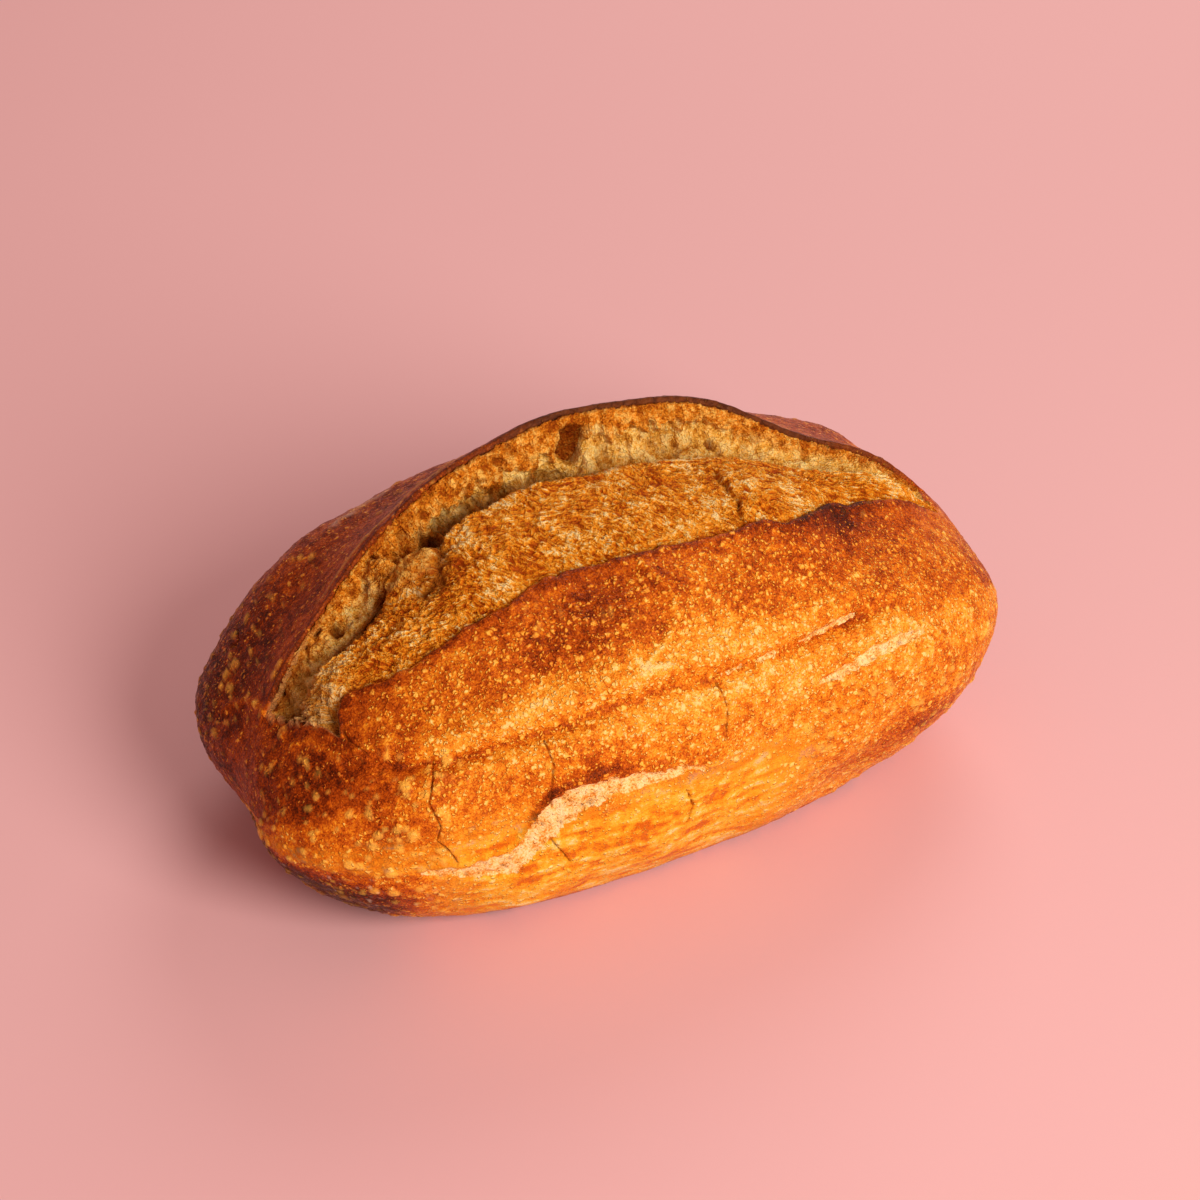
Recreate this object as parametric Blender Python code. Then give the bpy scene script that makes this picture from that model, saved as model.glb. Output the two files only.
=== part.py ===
"""A sourdough loaf: an oval batard with one long slash that opened wide in the oven.

The loaf lies along X with its underside on Z = 0 and its front flank towards -Y.
It is one solid. A ring of lines, the rails, runs round every cross-section: it follows the plain
hull of the loaf, and over the top it passes the ear, the torn wall under it, the groove, the bloom
and the lip of the front crust.
"""

import math

import bmesh
import bpy
import numpy as np

MM = 0.001

# Hull of the loaf. Widths and heights are measured from the line that joins its two ends.
HALF_LENGTH = 140.0 * MM
FRONT_WIDTH = 68.0 * MM
BACK_WIDTH = 95.5 * MM
HULL_HEIGHT = 115.0 * MM
END_HEIGHT = 46.5 * MM
SUNK_DEPTH = 28.0 * MM  # the hull would reach this far below the oven floor, and is flat there
FLOOR_ROUNDING = 4.0 * MM
LENGTH_SQUARENESS = 2.3
PLAN_BLUNTNESS = 2.95
PLAN_ROUNDNESS = 3.3
CROWN_BLUNTNESS = 2.0
CROWN_ROUNDNESS = 1.65
KEEL_BLUNTNESS = 2.3
KEEL_ROUNDNESS = 1.8
FRONT_SQUARENESS = 2.22
BACK_SQUARENESS = 2.16
LOWER_SQUARENESS = 2.0

# The slash. Angles are turned from straight up towards the front, in degrees.
SLASH_LEFT = -130.0 * MM
SLASH_RIGHT = 128.0 * MM
EAR_ANGLE_END = -4.0
EAR_ANGLE_MIDDLE = -21.0
EAR_BOW = 0.8
EAR_LIFT = 17.3 * MM
EAR_LIFT_SHAPE = 1.93
EAR_THICKNESS = 3.2 * MM
GROOVE_ANGLE_END = 4.0
GROOVE_ANGLE_MIDDLE = -16.5
GROOVE_BOW = 1.3
GROOVE_DEPTH = 4.0 * MM
WALL_LEAN = 0.72  # how far back the middle of the wall stands, from the groove to the ear
BLOOM_RISE = 2.0 * MM
LIP_LEFT = -119.0 * MM
LIP_RIGHT = 120.0 * MM
LIP_ROUTE = ((-119, 15), (-90, 20), (-53, 18), (-32, 14.5), (2, 18), (38, 19.5), (53, 21), (77, 12.5), (120, 10))
LIP_HEIGHT = 1.6 * MM
LIP_DEPTH = 1.4 * MM

# The crease along the front flank, and the two tears under it where the crust stretched.
CREASE_DEPTH = 2.6 * MM
CREASE_WIDTH = 4.5 * MM
CREASE_ROUTE = ((-112, 38), (-100, 46), (-75, 53), (-48, 54.5), (9, 57), (41, 56), (62, 53), (85, 51))
LONG_TEAR_ROUTE = ((-101, 94), (-80, 96), (-70, 95), (-57, 83.5), (-40, 77.5), (-22, 79), (-1, 81.5))
SHORT_TEAR_ROUTE = ((45, 70), (60, 67), (74, 63.5), (91, 62.5))
TEAR_DEPTH = 1.5 * MM
LONG_TEAR_WIDTHS = (2.5, 5.0, 6.5, 8.0, 5.5, 3.5, 2.0)
SHORT_TEAR_WIDTHS = (2.0, 2.8, 3.0, 2.0)
TEAR_LIP = 0.7
FLANK_MM_PER_DEGREE = 1.25

# Crags of the torn wall: where along the loaf, how far up the wall, how deep, and how wide.
WALL_CRAGS = (
    (-3, 0.50, 5.5, 8.0, 0.28),
    (-64, 0.42, 3.5, 8.0, 0.24),
    (-88, 0.55, 2.5, 8.0, 0.24),
    (-49, 0.30, 2.5, 12.0, 0.22),
    (26, 0.35, 2.0, 14.0, 0.22),
    (-76, 0.45, -3.6, 7.5, 0.30),
)

# Low swellings over the whole crust.
LUMP_HEIGHT = 1.1 * MM
LUMP_WAVES = 22
LUMP_SEED = 7
LUMP_LONGEST = 95.0 * MM
LUMP_SHORTEST = 34.0 * MM

# The net of faces.
CELLS_ALONG = 54
CELLS_ACROSS = 28
CELLS_UP = 15
CAP_ANGLE = 19.0
RING_CORNERS = (-55.0, 42.0, 128.0, 232.0, 305.0)

CRUST_COLOR = (0.47, 0.17, 0.035, 1.0)
CRUST_ROUGHNESS = 0.55


def ramp(value, low, high):
    """Rises smoothly from 0 at low to 1 at high."""
    share = np.clip((value - low) / (high - low), 0.0, 1.0)
    return share * share * (3.0 - 2.0 * share)


def hull(phi, angle):
    """Points of the plain hull: phi runs from the left end to the right one, angle round the section."""
    cosine, sine = np.cos(phi), np.sin(phi)
    square = np.abs(cosine) ** LENGTH_SQUARENESS + np.abs(sine) ** LENGTH_SQUARENESS
    along = -cosine / square ** (1.0 / LENGTH_SQUARENESS)
    plan = np.clip(1.0 - np.abs(along) ** PLAN_BLUNTNESS, 0.0, 1.0) ** (1.0 / PLAN_ROUNDNESS)
    crown = np.clip(1.0 - np.abs(along) ** CROWN_BLUNTNESS, 0.0, 1.0) ** (1.0 / CROWN_ROUNDNESS)
    keel = np.clip(1.0 - np.abs(along) ** KEEL_BLUNTNESS, 0.0, 1.0) ** (1.0 / KEEL_ROUNDNESS)
    turn = np.radians(angle)
    side, rise = np.sin(turn), np.cos(turn)
    upper = BACK_SQUARENESS + (FRONT_SQUARENESS - BACK_SQUARENESS) * ramp(side, -0.5, 0.5)
    power = np.where(rise > 0.0, upper, LOWER_SQUARENESS)
    reach = (np.abs(side) ** power + np.abs(rise) ** power) ** (-1.0 / power)
    width = np.where(side > 0.0, FRONT_WIDTH, BACK_WIDTH)
    height = np.where(rise > 0.0, (HULL_HEIGHT - END_HEIGHT) * crown, (END_HEIGHT + SUNK_DEPTH) * keel)
    y = -width * plan * reach * side
    z = END_HEIGHT + height * reach * rise
    blend = (z + FLOOR_ROUNDING) ** 2 / (4.0 * FLOOR_ROUNDING)
    z = np.where(z > FLOOR_ROUNDING, z, np.where(z < -FLOOR_ROUNDING, 0.0, blend))
    return np.stack(np.broadcast_arrays(HALF_LENGTH * along, y, z), axis=-1)


def hull_normal(phi, angle):
    """Outward normals of the hull, from its slopes along and around."""
    step_phi, step_angle = 0.002, 0.1
    inner = np.clip(phi, step_phi * 2, math.pi - step_phi * 2)
    along = hull(inner + step_phi, angle) - hull(inner - step_phi, angle)
    around = hull(inner, angle + step_angle) - hull(inner, angle - step_angle)
    normal = np.cross(around, along)
    length = np.linalg.norm(normal, axis=-1, keepdims=True)
    normal = normal / np.maximum(length, 1e-12)
    return normal


def through(places, values, at):
    """A smooth curve through values at places, without overshoot. values has one row for each place."""
    places = np.asarray(places, float)
    width = np.diff(places)[:, None]
    slope = np.diff(values, axis=0) / width
    left, right = slope[:-1], slope[1:]
    same = left * right > 0.0
    mean = 2.0 * left * right / np.where(same, left + right, 1.0)
    tangent = np.concatenate([slope[:1], np.where(same, mean, 0.0), slope[-1:]])
    cell = np.clip(np.searchsorted(places, at, side="right") - 1, 0, len(places) - 2)
    column = np.arange(len(at))
    span = width[cell, 0]
    t = (at - places[cell]) / span
    low, high = values[cell, column], values[cell + 1, column]
    low_slope, high_slope = tangent[cell, column] * span, tangent[cell + 1, column] * span
    return (
        low * (1 + 2 * t) * (1 - t) ** 2
        + low_slope * t * (1 - t) ** 2
        + high * t * t * (3 - 2 * t)
        + high_slope * t * t * (t - 1)
    )


def route_value(route, values, x):
    """A value that changes smoothly along a line drawn on the flank, at x."""
    places = np.array([point[0] for point in route], float)
    rows = np.repeat(np.array(values, float)[:, None], len(x), axis=1)
    return through(places, rows, np.clip(x / MM, places[0], places[-1]))


def route_angle(route, x):
    """The angle of a line drawn on the flank, at x. The route's points are millimetres and degrees."""
    return route_value(route, [point[1] for point in route], x)


def within(route, x, fade):
    """1 along a route's length, fading out over its last stretches."""
    first, last = route[0][0] * MM, route[-1][0] * MM
    return ramp(x, first - 0.3 * fade, first + 0.7 * fade) * (1.0 - ramp(x, last - 0.7 * fade, last + 0.3 * fade))


def slash_share(x, left=SLASH_LEFT, right=SLASH_RIGHT):
    """0 at the ends of the slash and 1 at its middle."""
    share = (x - (left + right) / 2) / ((right - left) / 2)
    return np.clip(1.0 - share**2, 0.0, 1.0)


def top_rails(x):
    """Places, angles and heights above the hull of the lines that run over the top, back to front."""
    swell = slash_share(x)
    opening = ramp(swell, 0.0, 0.16)
    lifting = ramp(slash_share(x, LIP_LEFT, LIP_RIGHT), 0.0, 0.2)
    ear = EAR_ANGLE_END + (EAR_ANGLE_MIDDLE - EAR_ANGLE_END) * swell**EAR_BOW
    lift = EAR_LIFT * swell**EAR_LIFT_SHAPE + 0.8 * MM * opening
    groove = GROOVE_ANGLE_END + (GROOVE_ANGLE_MIDDLE - GROOVE_ANGLE_END) * swell**GROOVE_BOW
    groove = np.maximum(groove, ear + 4.0)
    depth = GROOVE_DEPTH * opening
    wall = ear + (groove - ear) * (1.0 - WALL_LEAN)
    lip = np.maximum(route_angle(LIP_ROUTE, x), groove + 6.0)
    thickness = EAR_THICKNESS * opening
    back = RING_CORNERS[0] + 0.0 * x
    front = RING_CORNERS[1] + 0.0 * x
    rails = (
        (0.00, back, 0.0 * x),
        (0.14, back + (ear - back) * 0.50, 0.22 * lift),
        (0.27, back + (ear - back) * 0.86, 0.74 * lift),
        (0.36, ear - 0.3, lift),
        (0.40, ear + 0.6 * opening, lift - thickness),
        (0.50, wall, 0.42 * (lift - thickness) - 0.35 * depth),
        (0.58, groove - 0.9 * opening, 0.06 * lift - 0.95 * depth),
        (0.62, groove + 0.8 * opening, -depth),
        (0.68, groove + (lip - groove) * 0.20, 0.75 * BLOOM_RISE * lifting - 0.5 * depth * (1.0 - lifting)),
        (0.78, groove + (lip - groove) * 0.55, BLOOM_RISE * lifting),
        (0.87, lip - 0.9, -0.6 * LIP_DEPTH * lifting),
        (0.90, lip + 0.6, LIP_HEIGHT * lifting),
        (0.94, lip + (front - lip) * 0.30, 0.5 * MM * lifting),
        (1.00, front, 0.0 * x),
    )
    return (
        np.array([rail[0] for rail in rails]),
        np.array([rail[1] for rail in rails]),
        np.array([rail[2] for rail in rails]),
    )


def ring_place(ring, x):
    """Angle and height above the hull at a place round the ring: 0 to 1 is the top, then front, floor and back."""
    angle = np.interp(ring, range(len(RING_CORNERS)), RING_CORNERS)
    height = np.zeros_like(angle)
    top = ring <= 1.0
    places, angles, heights = top_rails(x[top])
    angle[top] = through(places, angles, ring[top])
    height[top] = through(places, heights, ring[top])
    return angle, height


def crags(ring, x):
    """Hollows and one knob in the torn wall."""
    places = top_rails(x)[0]
    foot, head = places[7], places[4]
    up = (foot - ring) / (foot - head)
    depth = np.zeros_like(x)
    for where, level, deep, length, share in WALL_CRAGS:
        near = ((x / MM - where) / length) ** 2 + ((up - level) / share) ** 2
        depth += deep * MM * np.exp(-(near**1.5))
    return depth * ramp(up, -0.35, 0.15) * (1.0 - ramp(up, 0.80, 1.05))


def flank_relief(x, angle):
    """Height of the crease and the tears on the front flank."""
    off = (angle - route_angle(CREASE_ROUTE, x)) * FLANK_MM_PER_DEGREE * MM / CREASE_WIDTH
    along = within(CREASE_ROUTE, x, 30 * MM)
    height = -CREASE_DEPTH * along * np.exp(-(off**2))
    height += 0.45 * CREASE_DEPTH * along * np.exp(-((off + 2.6) ** 2) / 3.0)
    for route, widths in ((LONG_TEAR_ROUTE, LONG_TEAR_WIDTHS), (SHORT_TEAR_ROUTE, SHORT_TEAR_WIDTHS)):
        width = route_value(route, widths, x)
        off = (angle - route_angle(route, x)) * FLANK_MM_PER_DEGREE / width
        lip = np.exp(-((off + 1.35) ** 2) * 3.0)
        depth = TEAR_DEPTH * np.clip(width / 4.0, 0.5, 1.0) * within(route, x, 16 * MM)
        height += depth * (TEAR_LIP * lip - np.exp(-(off**4)))
    return height


def lumps(points):
    """Slow swellings of the crust: a sum of waves in seeded directions."""
    draw = np.random.default_rng(LUMP_SEED)
    total = np.zeros(len(points))
    for _ in range(LUMP_WAVES):
        direction = draw.normal(size=3)
        direction /= np.linalg.norm(direction)
        length = draw.uniform(LUMP_SHORTEST, LUMP_LONGEST)
        total += np.sin(2 * math.pi * (points @ direction) / length + draw.uniform(0, 2 * math.pi))
    return total * LUMP_HEIGHT * math.sqrt(2.0 / LUMP_WAVES)


def loaf_points(phi, ring):
    """The loaf's surface at phi along it and ring round it."""
    x = hull(phi, np.zeros_like(phi))[:, 0]
    angle, height = ring_place(ring, x)
    points, normal = hull(phi, angle), hull_normal(phi, angle)
    clear_of_floor = ramp(points[:, 2], 0.5 * MM, 14 * MM)
    height = height + flank_relief(x, angle) + lumps(points) * clear_of_floor
    top = ring <= 1.0
    height[top] -= crags(ring[top], x[top]) * slash_share(x[top]) ** 0.3
    points = points + normal * (height * np.where(points[:, 2] > 0.5 * MM, clear_of_floor, 0.0))[:, None]
    points[:, 2] = np.maximum(points[:, 2], 0.0)
    return points


def box_net(mesh):
    """Cuts a unit cube into a net with its own number of cells along, across and up."""
    bmesh.ops.create_cube(mesh, size=2.0)
    for axis, cells in ((0, CELLS_ALONG), (1, CELLS_ACROSS), (2, CELLS_UP)):
        edges = []
        for edge in mesh.edges:
            run = edge.verts[1].co - edge.verts[0].co
            if abs(run[axis]) > 1e-6 and abs(run[(axis + 1) % 3]) + abs(run[(axis + 2) % 3]) < 1e-6:
                edges.append(edge)
        bmesh.ops.subdivide_edges(mesh, edges=edges, cuts=cells - 1, use_grid_fill=True)


def net_places(cube):
    """phi and ring of the net's points, from where they lie on the cube."""
    x, y, z = cube.T
    out = np.maximum(np.maximum(np.abs(y), np.abs(z)), 1e-9)
    ring = np.where(
        z >= out - 1e-7,
        0.5 - 0.5 * y / out,
        np.where(
            y <= -out + 1e-7,
            1.5 - 0.5 * z / out,
            np.where(z <= -out + 1e-7, 2.5 + 0.5 * y / out, 3.5 + 0.5 * z / out),
        ),
    )
    cap = math.radians(CAP_ANGLE)
    side = cap + (math.pi - 2 * cap) * (x + 1.0) / 2.0
    phi = np.where(out < 1.0 - 1e-6, np.where(x < 0, cap * out, math.pi - cap * out), side)
    return phi, ring


def crust_material():
    material = bpy.data.materials.new("baked_crust")
    material.use_nodes = True
    shader = material.node_tree.nodes["Principled BSDF"]
    shader.inputs["Base Color"].default_value = CRUST_COLOR
    shader.inputs["Roughness"].default_value = CRUST_ROUGHNESS
    shader.inputs["Metallic"].default_value = 0.0
    return material


def make_loaf():
    mesh = bmesh.new()
    box_net(mesh)
    mesh.verts.ensure_lookup_table()
    cube = np.array([vertex.co for vertex in mesh.verts])
    points = loaf_points(*net_places(cube))
    low, high = points.min(axis=0), points.max(axis=0)
    points[:, :2] -= (low[:2] + high[:2]) / 2
    for vertex, point in zip(mesh.verts, points):
        vertex.co = point
    bmesh.ops.recalc_face_normals(mesh, faces=mesh.faces)
    bmesh.ops.triangulate(mesh, faces=mesh.faces, quad_method="BEAUTY")
    data = bpy.data.meshes.new("loaf")
    mesh.to_mesh(data)
    mesh.free()
    data.shade_smooth()
    data.set_sharp_from_angle(angle=math.radians(50))
    data.materials.append(crust_material())
    loaf = bpy.data.objects.new("loaf", data)
    bpy.context.scene.collection.objects.link(loaf)


def main():
    for old in list(bpy.data.objects):
        bpy.data.objects.remove(old)
    make_loaf()


main()
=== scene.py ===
"""Looks of the sourdough loaf: its blistered crust, the torn crumb in the slash, light and camera.

The crust and the crumb are two closed skins over the loaf's own hull. The crumb fills the slash and
dips under the crust all round it. X runs along the loaf and the front flank faces -Y.
"""

import itertools
import math

import bmesh
import bpy
import numpy as np
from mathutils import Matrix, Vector


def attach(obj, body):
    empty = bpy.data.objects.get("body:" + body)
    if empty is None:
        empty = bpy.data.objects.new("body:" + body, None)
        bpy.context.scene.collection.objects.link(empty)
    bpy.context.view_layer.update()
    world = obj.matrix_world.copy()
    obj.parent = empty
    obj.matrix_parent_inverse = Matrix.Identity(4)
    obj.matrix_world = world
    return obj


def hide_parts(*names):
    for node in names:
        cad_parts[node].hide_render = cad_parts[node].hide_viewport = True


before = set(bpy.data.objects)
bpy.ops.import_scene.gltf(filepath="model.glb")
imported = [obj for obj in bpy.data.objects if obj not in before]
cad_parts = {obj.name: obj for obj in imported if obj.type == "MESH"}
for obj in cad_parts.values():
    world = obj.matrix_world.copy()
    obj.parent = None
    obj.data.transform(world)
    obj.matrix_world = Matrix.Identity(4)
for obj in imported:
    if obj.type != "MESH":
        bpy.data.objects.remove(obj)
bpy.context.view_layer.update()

MM = 0.001

# The hull of the loaf. It is drawn with its ends on Y = 0 and then moved to the middle of its box.
HALF_LENGTH = 140.0
FRONT_WIDTH = 68.0
BACK_WIDTH = 95.5
HULL_HEIGHT = 115.0
END_HEIGHT = 46.5
SUNK_DEPTH = 28.0
FLOOR_ROUNDING = 4.0
LENGTH_SQUARENESS = 2.3
PLAN_BLUNTNESS = 2.95
PLAN_ROUNDNESS = 3.3
CROWN_BLUNTNESS = 2.0
CROWN_ROUNDNESS = 1.65
KEEL_BLUNTNESS = 2.3
KEEL_ROUNDNESS = 1.8
FRONT_SQUARENESS = 2.22
BACK_SQUARENESS = 2.16
LOWER_SQUARENESS = 2.0
MIDDLE = (0.55, 13.4)
ROUND_CORNERS = (-55.0, 42.0, 128.0, 232.0, 305.0)

# The slash. Lengths are millimetres and angles are degrees from straight up towards the front.
SLASH_LEFT = -130.0
SLASH_RIGHT = 128.0
EAR_ANGLE_END = -4.0
EAR_ANGLE_MIDDLE = -21.0
EAR_BOW = 0.8
EAR_LIFT = 17.3
EAR_LIFT_SHAPE = 1.93
EAR_THICKNESS = 3.2
GROOVE_ANGLE_END = 4.0
GROOVE_ANGLE_MIDDLE = -16.5
GROOVE_BOW = 1.3
GROOVE_DEPTH = 4.0
WALL_LEAN = 0.72
BLOOM_RISE = 2.0
LIP_LEFT = -119.0
LIP_RIGHT = 120.0
LIP_HEIGHT = 1.5
LIP_DEPTH = 1.4
LIP_ROUTE = (
    (-119, 14), (-115, 19), (-111.5, 27), (-108.5, 19), (-103, 16), (-90, 20), (-70, 18.5), (-53, 18),
    (-32, 14.5), (-15, 16), (2, 18), (20, 20), (38, 19.5), (53, 21), (66, 16), (77, 12.5), (97, 12),
    (120, 10),
)
# Hollows and one knob of the wall: place along, level up it, depth, half length, half height.
WALL_CRAGS = (
    (-3, 0.50, 5.5, 8.0, 0.28),
    (-64, 0.42, 3.5, 8.0, 0.24),
    (-88, 0.55, 2.5, 8.0, 0.24),
    (-49, 0.30, 2.5, 12.0, 0.22),
    (26, 0.35, 2.0, 14.0, 0.22),
    (-76, 0.45, -3.6, 7.5, 0.30),
)

# The front flank.
CREASE_ROUTE = (
    (-112, 38), (-100, 46), (-75, 53), (-48, 54.5), (-20, 56), (9, 57), (41, 56), (62, 53), (85, 51),
)
CREASE_DEPTH = 2.8
CREASE_WIDTH = 3.6
LONG_TEAR_ROUTE = ((-101, 94), (-80, 96), (-70, 95), (-57, 83.5), (-40, 77.5), (-22, 79), (-1, 81.5))
LONG_TEAR_WIDTHS = (2.0, 5.0, 6.5, 9.0, 5.5, 3.0, 1.2)
SHORT_TEAR_ROUTE = ((45, 70), (60, 67), (74, 63.5), (91, 62.5))
SHORT_TEAR_WIDTHS = (1.2, 2.8, 3.2, 1.6)
SEAM_ROUTE = ((9, 57.5), (25, 57), (41, 56), (58, 52.5), (70, 51))
SEAM_WIDTHS = (0.6, 0.9, 1.3, 1.2, 0.5)
# Each tear with its half widths, its depth and the seed of its ragged edges.
TEARS = (
    (LONG_TEAR_ROUTE, LONG_TEAR_WIDTHS, 1.3, 31),
    (SHORT_TEAR_ROUTE, SHORT_TEAR_WIDTHS, 0.8, 32),
    (SEAM_ROUTE, SEAM_WIDTHS, 0.5, 33),
)
FLANK_STEP = 1.25  # millimetres for each degree round the flank

# Cracks in the crust: points along the loaf and round it.
CRACKS = (
    ((-90, 49), (-92, 55), (-95, 62), (-93, 72), (-95, 77), (-92, 82), (-89, 90)),
    ((-55, 57), (-54, 64), (-57, 75), (-56, 79)),
    ((7, 59), (8.5, 66), (6, 75)),
    ((-9, 87), (-6, 94), (-8, 100)),
    ((-57, 91), (-50, 102)),
    ((-110, 26), (-110, 30), (-107, 37)),
    ((-117, -44), (-119.5, -39), (-122, -42)),
)
CRACK_WIDTH = 0.42
CRACK_DEPTH = 0.8

# Fine raised folds of the crust, drawn in the same way.
FOLDS = (
    ((-3, 21), (0, 28), (1.5, 35), (-2, 41), (-8, 45), (-14, 47)),
    ((-20, 44), (-16, 49), (-8, 50)),
    ((-118, 30), (-112, 33), (-104, 36), (-98, 38)),
    ((-124, 16), (-119, 20), (-117, 28), (-115, 37)),
    ((-134, -31), (-128, -18), (-126, -8), (-124, 2), (-125, 10)),
    ((26, 33), (34, 35), (41, 34)),
    ((84, 60), (89, 63), (92, 68), (90, 74)),
    ((89, 59), (95, 63), (97, 69)),
    ((-2, 81.5), (10, 80), (22, 77), (30, 76)),
    ((-73, -43), (-62, -46), (-50, -47)),
)
FLOURED_FOLD = FOLDS[-1:]

# Finer hollows of the torn wall: place along, level up it, half length, half height, depth.
CAVES = (
    (2.5, 0.70, 5.0, 0.17, 9.0),
    (-8.0, 0.34, 9.0, 0.13, 4.4),
    (66.0, 0.45, 3.0, 0.14, 2.4),
    (99.0, 0.40, 3.0, 0.16, 2.0),
    (37.0, 0.40, 8.0, 0.12, 2.4),
    (-45.0, 0.40, 14.0, 0.13, 4.4),
    (-84.0, 0.12, 6.0, 0.16, 4.0),
    (-28.0, 0.34, 6.0, 0.14, 3.0),
    (18.0, 0.34, 8.0, 0.14, 2.2),
    (-100.0, 0.16, 10.0, 0.14, 3.0),
)
KNOB_PLACE = -69.0
KNOB_HALF_LENGTH = 11.0
KNOB_LEVEL = 0.15
KNOB_HALF_HEIGHT = 0.55

# The bloom's strands run in two directions, in degrees from the loaf's length.
FLAT_TURN = 24.0
STEEP_TURN = 66.0
UNROLLED_STEP = 1.9  # millimetres for each degree over the top
STEP_PLACE = 39.5
LEFT_PITS = 121.5
TIP_PIT = 111.5

LUMP_HEIGHT = 1.1
LUMP_WAVES = 22
LUMP_SEED = 7
LUMP_LONGEST = 95.0
LUMP_SHORTEST = 34.0

# Where the bake is darker (above zero) or paler: place along, place round, half length, half width.
BAKE_PATCHES = (
    (-33, 32, 22, 12, 0.15),
    (-22, 26, 9, 9, 0.06),
    (70, 18, 15, 8, 0.28),
    (84, 20, 16, 7, 0.12),
    (52, 27, 9, 9, 0.08),
    (12, 34, 6, 11, -0.07),
    (-66, 30, 22, 10, -0.03),
    (-100, 28, 12, 10, 0.02),
    (-50, 47, 40, 6, -0.28),
    (20, 50, 38, 6, -0.28),
    (95, 32, 18, 14, 0.02),
    (84, 56, 20, 10, -0.07),
    (-48, 66, 26, 7, 0.12),
    (-55, 80, 10, 5, 0.12),
    (92, 100, 22, 8, 0.22),
    (70, 108, 22, 8, 0.12),
    (0, 62, 40, 5, -0.10),
    (-127, 34, 10, 20, 0.13),
    (-102, 68, 18, 16, 0.12),
    (-84, 84, 16, 9, -0.06),
)

# The nets. The crust's is a cube's, whose end faces become caps this many degrees wide.
CRUST_CELLS = (35, 16, 6)
CRUST_DOUBLINGS = 3
CRACK_REACHES = (1.6, 0.9)
CAP_ANGLE = 19.0
CRUMB_CELLS = (540, 170)
CRUMB_MIDDLE = -0.8
CRUMB_HALF_LENGTH = 126.0
CRUMB_FLOOR = 52.0
UNDER_CRUST = 4.5
UNDER_WALL = 17.0
BEHIND_WALL = 6.0
# The hole needs the hidden crust further down and back.
HOLE_MIDDLE = 2.0
HOLE_UNDER = 10.0
HOLE_BEHIND = 8.0
HOLE_REACH = 10.0

# Light, floor and camera.
SOFT_BOX = (12.0, 33.0, 33.0, (1.0, 0.96, 0.92))  # azimuth, elevation, watts, colour
BACK_LIGHT = (138.0, 33.0, 10.5, (1.0, 0.97, 0.94))
LAMP_DISTANCE = 1.8
LAMP_SIZE = 1.0
LAMP_AIM = (0.0, 0.0, 0.06)
ROOM_COLOUR = (1.0, 0.61, 0.57, 1.0)
ROOM_STRENGTH = 0.39
PAPER_COLOUR = (0.78, 0.437, 0.427, 1.0)
PAPER_SIZE = 3.0
SENSOR_WIDTH = 36.0
FOCAL_LENGTH = 94.84
CAMERA_AZIMUTH = -27.434
CAMERA_ELEVATION = 40.0
CAMERA_DISTANCE = 1.07333
CAMERA_AIM = (-0.00541, -0.0134, 0.07821)


def ramp(value, low, high):
    """Rises smoothly from 0 at low to 1 at high."""
    share = np.clip((value - low) / (high - low), 0.0, 1.0)
    return share * share * (3.0 - 2.0 * share)


def scatter(cell, seed):
    """A repeatable number from 0 to 1 for each cell of a lattice."""
    mixed = (cell[..., 0] * 73856093) ^ (cell[..., 1] * 19349663) ^ (cell[..., 2] * 83492791)
    mixed = mixed ^ (seed * 40503)
    for _ in range(3):
        mixed &= 0xFFFFFFFF
        mixed = (mixed ^ (mixed >> 16)) * 0x45D9F3B
    mixed &= 0xFFFFFFFF
    return (mixed ^ (mixed >> 16)) / 4294967296.0


def rough(points, size, seed):
    """Soft unevenness between about -1 and 1, with swellings about size across."""
    place = points / size
    cell = np.floor(place).astype(np.int64)
    inside = place - cell
    fade = inside**3 * (inside * (inside * 6.0 - 15.0) + 10.0)
    total = np.zeros(len(points))
    for corner in itertools.product((0, 1), repeat=3):
        there = cell + corner
        lean = np.stack([scatter(there, seed * 7 + k) for k in range(3)], axis=-1) * 2.0 - 1.0
        weight = np.prod(np.where(corner, fade, 1.0 - fade), axis=-1)
        total += weight * np.einsum("ij,ij->i", lean, inside - corner)
    return total * 1.6


def bubbles(points, size, seed, share=1.0, smallest=0.22, largest=0.5):
    """Round domes scattered about size apart: how high each point is on its dome, and its radius."""
    place = points / size
    cell = np.floor(place).astype(np.int64)
    best, radius_there = np.zeros(len(points)), np.zeros(len(points))
    for corner in itertools.product((-1, 0, 1), repeat=3):
        there = cell + corner
        middle = there + np.stack([scatter(there, seed * 11 + k) for k in range(3)], axis=-1)
        radius = smallest + (largest - smallest) * scatter(there, seed * 11 + 5) ** 2
        gap = np.linalg.norm(place - middle, axis=-1) / radius
        dome = np.clip(1.0 - gap * gap, 0.0, 1.0)
        rise = np.where(scatter(there, seed * 11 + 6) < share, dome, 0.0)
        higher = rise > best
        best = np.where(higher, rise, best)
        radius_there = np.where(higher, radius * size, radius_there)
    return best, radius_there


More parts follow.
